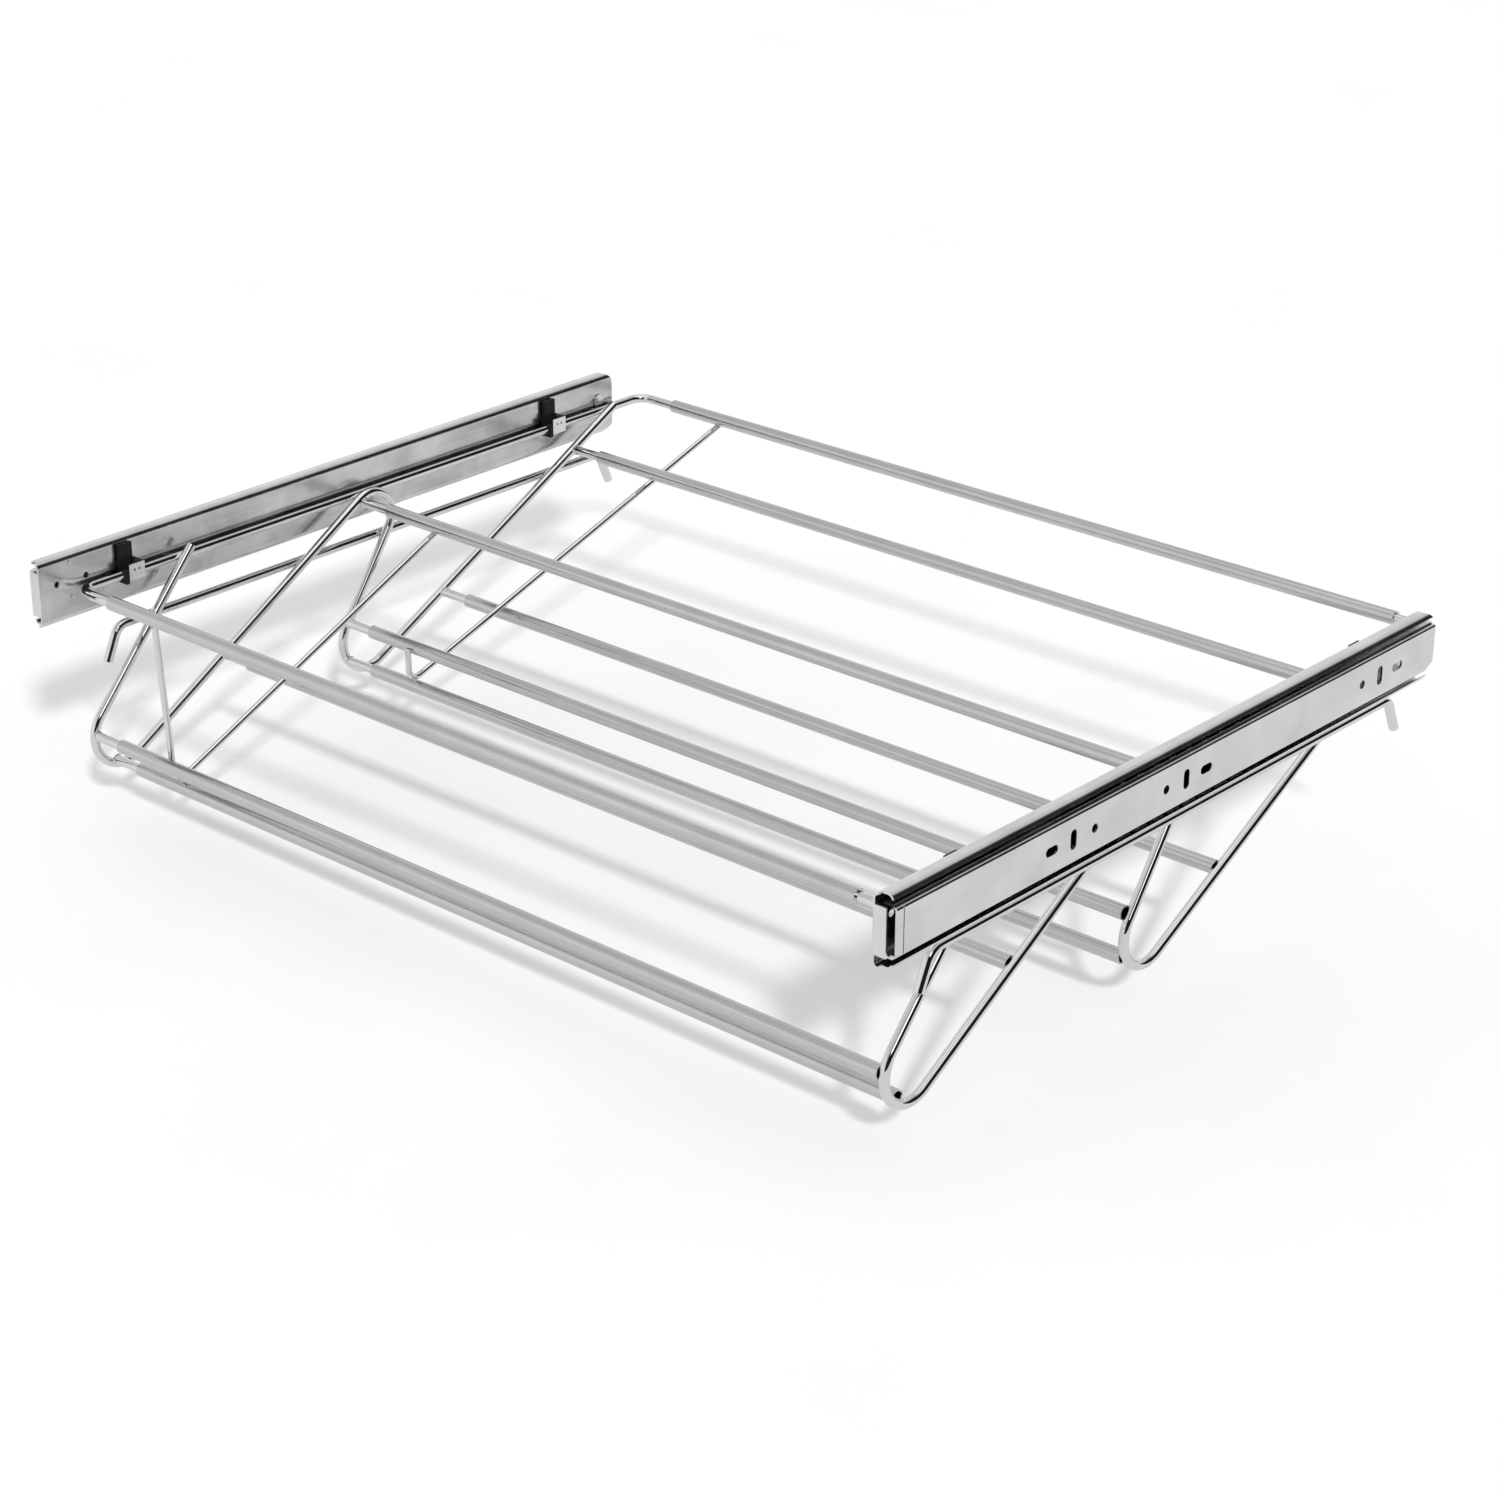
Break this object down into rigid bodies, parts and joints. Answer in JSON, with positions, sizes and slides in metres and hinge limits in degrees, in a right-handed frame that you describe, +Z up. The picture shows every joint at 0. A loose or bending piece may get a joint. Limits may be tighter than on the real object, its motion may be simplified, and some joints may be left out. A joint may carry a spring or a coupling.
{
  "type": "pull-out wardrobe shoe rack",
  "caption": "Width-adjustable pull-out shoe rack: two sloping wire tiers of telescoping tubes carried between a pair of side-mounted ball-bearing runners.",
  "frame": {"origin": "on the left cabinet face, midway between the front and back round screw holes of the left cabinet member", "axes": "+X from the left cabinet wall to the right one, -Y the way the rack pulls out, +Z up"},
  "size_m": [0.68, 0.5294, 0.145],
  "materials": {
    "runner_plate": "bright zinc plated sheet steel",
    "cage_steel": "plain rolled steel",
    "ball_steel": "polished hardened steel",
    "clip_plastic": "black moulded plastic",
    "clip_steel": "bright zinc plated sheet steel",
    "tube_satin": "satin chromium plate",
    "wire_chrome": "mirror chromium plate"
  },
  "bodies": {
    "wall_member_l": {"cabinet_member_l": "runner_plate"},
    "left_half": {"rack_member_l": "runner_plate", "clip_block_front_l": "clip_plastic", "clip_block_back_l": "clip_plastic", "clip_saddle_front_l": "clip_steel", "clip_saddle_back_l": "clip_steel", "top_rail_l": "wire_chrome", "lower_rail_l": "wire_chrome", "zigzag_l": "wire_chrome", "rod_front_heel_hi": "wire_chrome", "rod_front_heel_lo": "wire_chrome", "rod_front_ramp_lo": "wire_chrome", "rod_front_ramp_hi": "wire_chrome", "rod_rear_heel_hi": "wire_chrome", "rod_rear_heel_lo": "wire_chrome", "rod_rear_ramp_lo": "wire_chrome", "rod_rear_ramp_hi": "wire_chrome"},
    "right_half": {"rack_member_r": "runner_plate", "clip_block_front_r": "clip_plastic", "clip_block_back_r": "clip_plastic", "clip_saddle_front_r": "clip_steel", "clip_saddle_back_r": "clip_steel", "top_rail_r": "wire_chrome", "lower_rail_r": "wire_chrome", "zigzag_r": "wire_chrome", "tube_front_rail": "tube_satin", "tube_back_rail": "tube_satin", "tube_front_heel_hi": "tube_satin", "tube_front_heel_lo": "tube_satin", "tube_front_ramp_lo": "tube_satin", "tube_front_ramp_hi": "tube_satin", "tube_rear_heel_hi": "tube_satin", "tube_rear_heel_lo": "tube_satin", "tube_rear_ramp_lo": "tube_satin", "tube_rear_ramp_hi": "tube_satin", "brace_front": "wire_chrome", "brace_rear": "wire_chrome"},
    "wall_member_r": {"cabinet_member_r": "runner_plate"},
    "cage_l": {"ball_cage_l": "cage_steel", "balls_l": "ball_steel"},
    "cage_r": {"ball_cage_r": "cage_steel", "balls_r": "ball_steel"}
  },
  "joints": [
    {"name": "pull_out", "type": "slide", "parent": "wall_member_l", "child": "left_half", "axis": [0, -1, 0], "range_m": [0, 0.37]},
    {"name": "width_adjust", "type": "slide", "parent": "left_half", "child": "right_half", "axis": [1, 0, 0], "range_m": [0, 0.28]},
    {"name": "right_member_slide", "type": "slide", "parent": "right_half", "child": "wall_member_r", "axis": [0, 1, 0], "range_m": [0, 0.37]},
    {"name": "cage_slide_l", "type": "slide", "parent": "wall_member_l", "child": "cage_l", "axis": [0, -1, 0], "range_m": [0, 0.185]},
    {"name": "cage_slide_r", "type": "slide", "parent": "right_half", "child": "cage_r", "axis": [0, 1, 0], "range_m": [0, 0.185]}
  ],
  "couplings": [
    {"joint": "right_member_slide", "follows": "pull_out", "ratio": 1},
    {"joint": "cage_slide_l", "follows": "pull_out", "ratio": 0.5},
    {"joint": "cage_slide_r", "follows": "pull_out", "ratio": 0.5}
  ]
}
